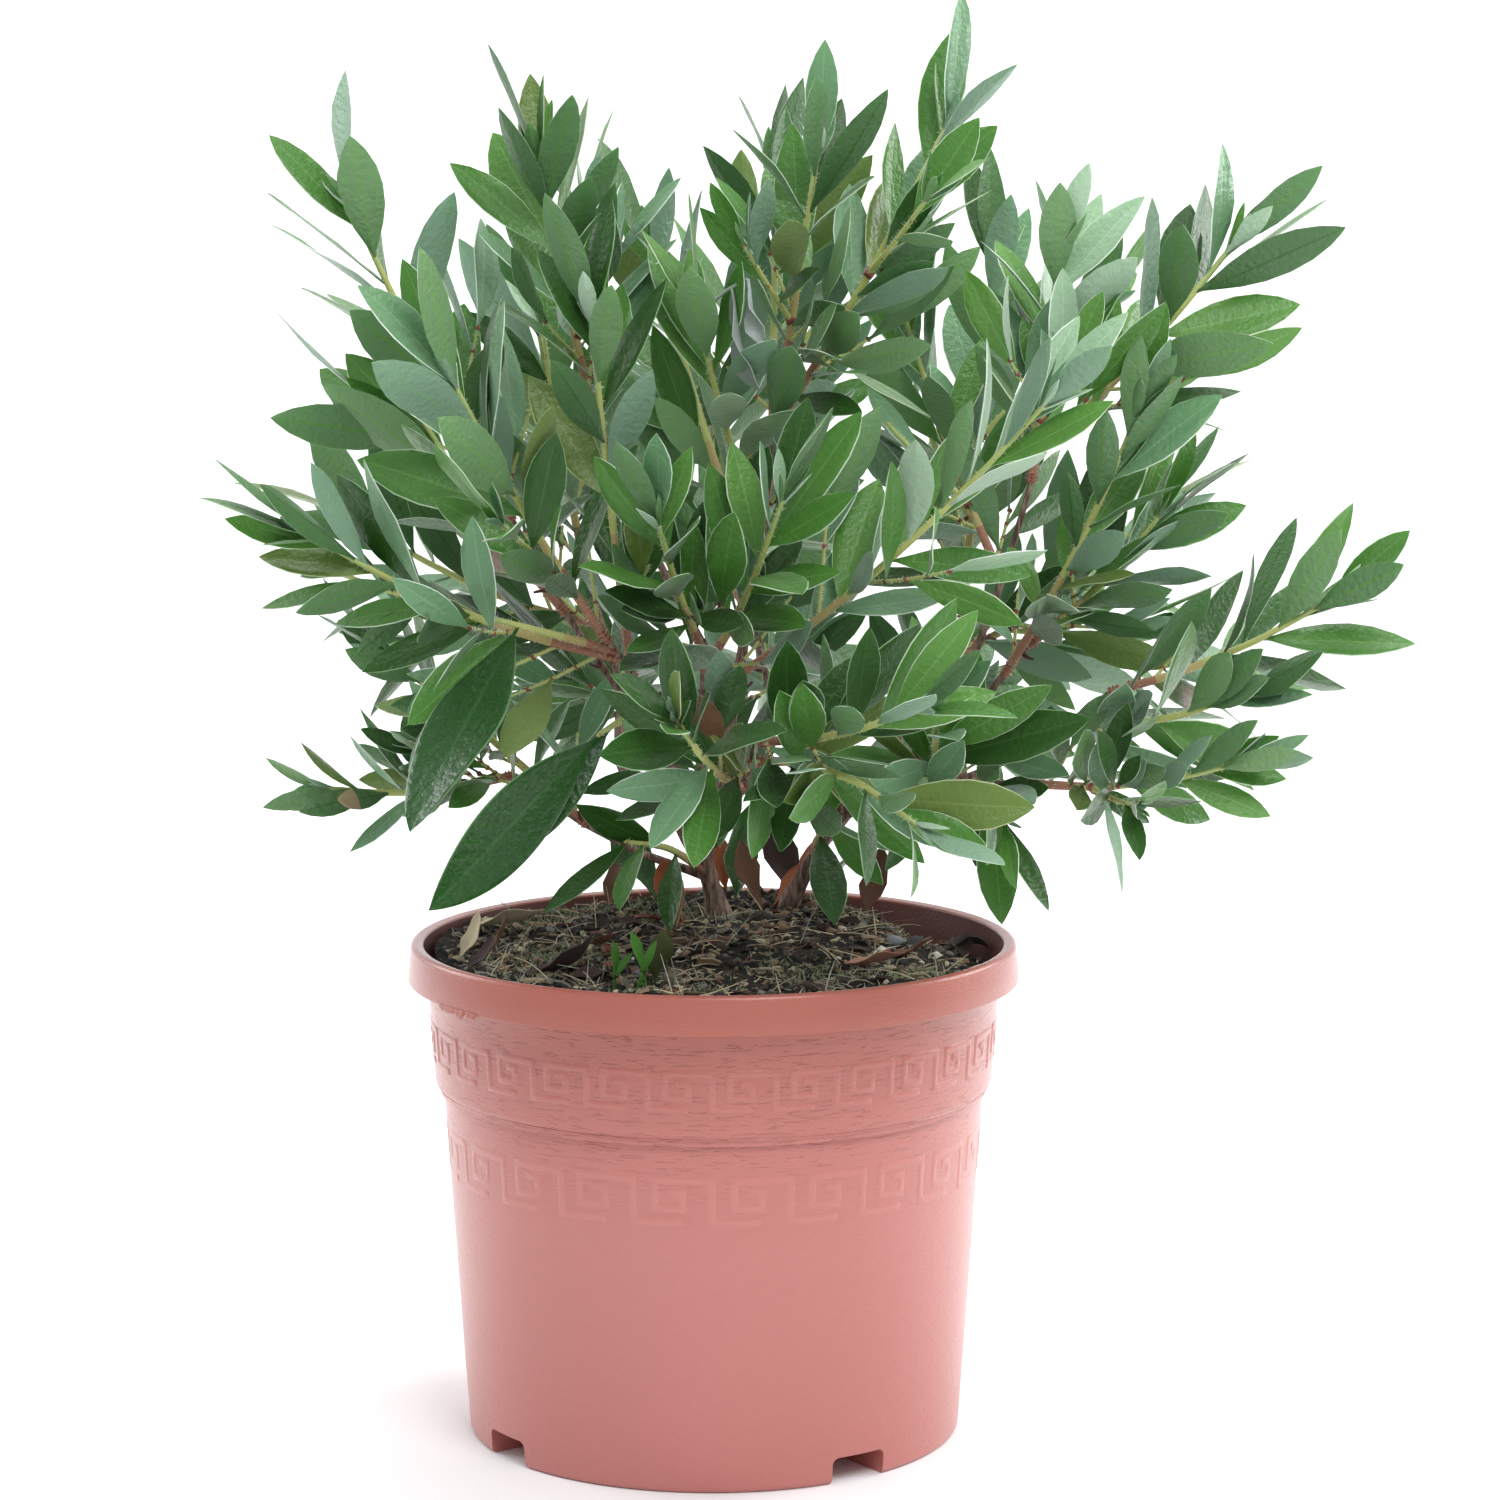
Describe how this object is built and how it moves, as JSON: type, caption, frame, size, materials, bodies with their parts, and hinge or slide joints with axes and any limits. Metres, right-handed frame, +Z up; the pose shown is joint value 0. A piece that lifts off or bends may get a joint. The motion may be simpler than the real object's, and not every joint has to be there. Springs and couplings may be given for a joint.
{
  "type": "potted bottlebrush shrub",
  "caption": "Young evergreen bottlebrush shrub, leafy and not in flower, in a round tapered plastic nursery pot with a lip, a stepped upper tier and a notched foot.",
  "frame": {"origin": "centre of the pot's flat underside, on the pot's axis", "axes": "+Z up along the pot's axis; -Y towards the front, the side that the picture shows; +X to the right seen from the front"},
  "size_m": [0.4325, 0.3602, 0.5141],
  "materials": {
    "pot": "satin moulded terracotta-coloured polypropylene, faint moulded grain and a raised key pattern",
    "compost": "rough dark peat compost with straw, bark chips and dead leaves",
    "bark": "matte grey-brown to red-brown bark",
    "foliage": "satin green leaves with a paler midrib and a fine downy edge"
  },
  "bodies": {
    "root": {"bough_back": "bark", "bough_back_left": "bark", "bough_back_right": "bark", "bough_centre": "bark", "bough_front": "bark", "bough_left": "bark", "bough_left_high": "bark", "bough_left_top": "bark", "bough_low_left": "bark", "bough_right": "bark", "bough_right_high": "bark", "bough_right_mid": "bark", "bough_right_out": "bark", "bough_top": "bark", "pot": "pot", "shoot_back_left_low": "foliage", "shoot_back_left_out": "foliage", "shoot_back_left_top": "foliage", "shoot_back_low": "foliage", "shoot_back_out": "foliage", "shoot_back_right_low": "foliage", "shoot_back_right_out": "foliage", "shoot_back_right_top": "foliage", "shoot_back_top": "foliage", "shoot_centre": "foliage", "shoot_centre_left": "foliage", "shoot_centre_right": "foliage", "shoot_crown_back": "foliage", "shoot_crown_left": "foliage", "shoot_crown_right": "foliage", "shoot_foot_left": "foliage", "shoot_foot_right": "foliage", "shoot_front_left": "foliage", "shoot_front_low": "foliage", "shoot_front_right": "foliage", "shoot_left_hanging": "foliage", "shoot_left_large": "foliage", "shoot_left_mid": "foliage", "shoot_left_out": "foliage", "shoot_left_side": "foliage", "shoot_left_top": "foliage", "shoot_left_upper": "foliage", "shoot_low_left": "foliage", "shoot_low_left_up": "foliage", "shoot_right_drop": "foliage", "shoot_right_inner": "foliage", "shoot_right_low": "foliage", "shoot_right_mid": "foliage", "shoot_right_new": "foliage", "shoot_right_out": "foliage", "shoot_right_top": "foliage", "shoot_right_up": "foliage", "shoot_right_upper": "foliage", "shoot_top": "foliage", "shoot_top_centre": "foliage", "shoot_top_left": "foliage", "shoot_top_mid": "foliage", "soil": "compost", "trunk_left": "bark", "trunk_right": "bark"}
  },
  "joints": []
}
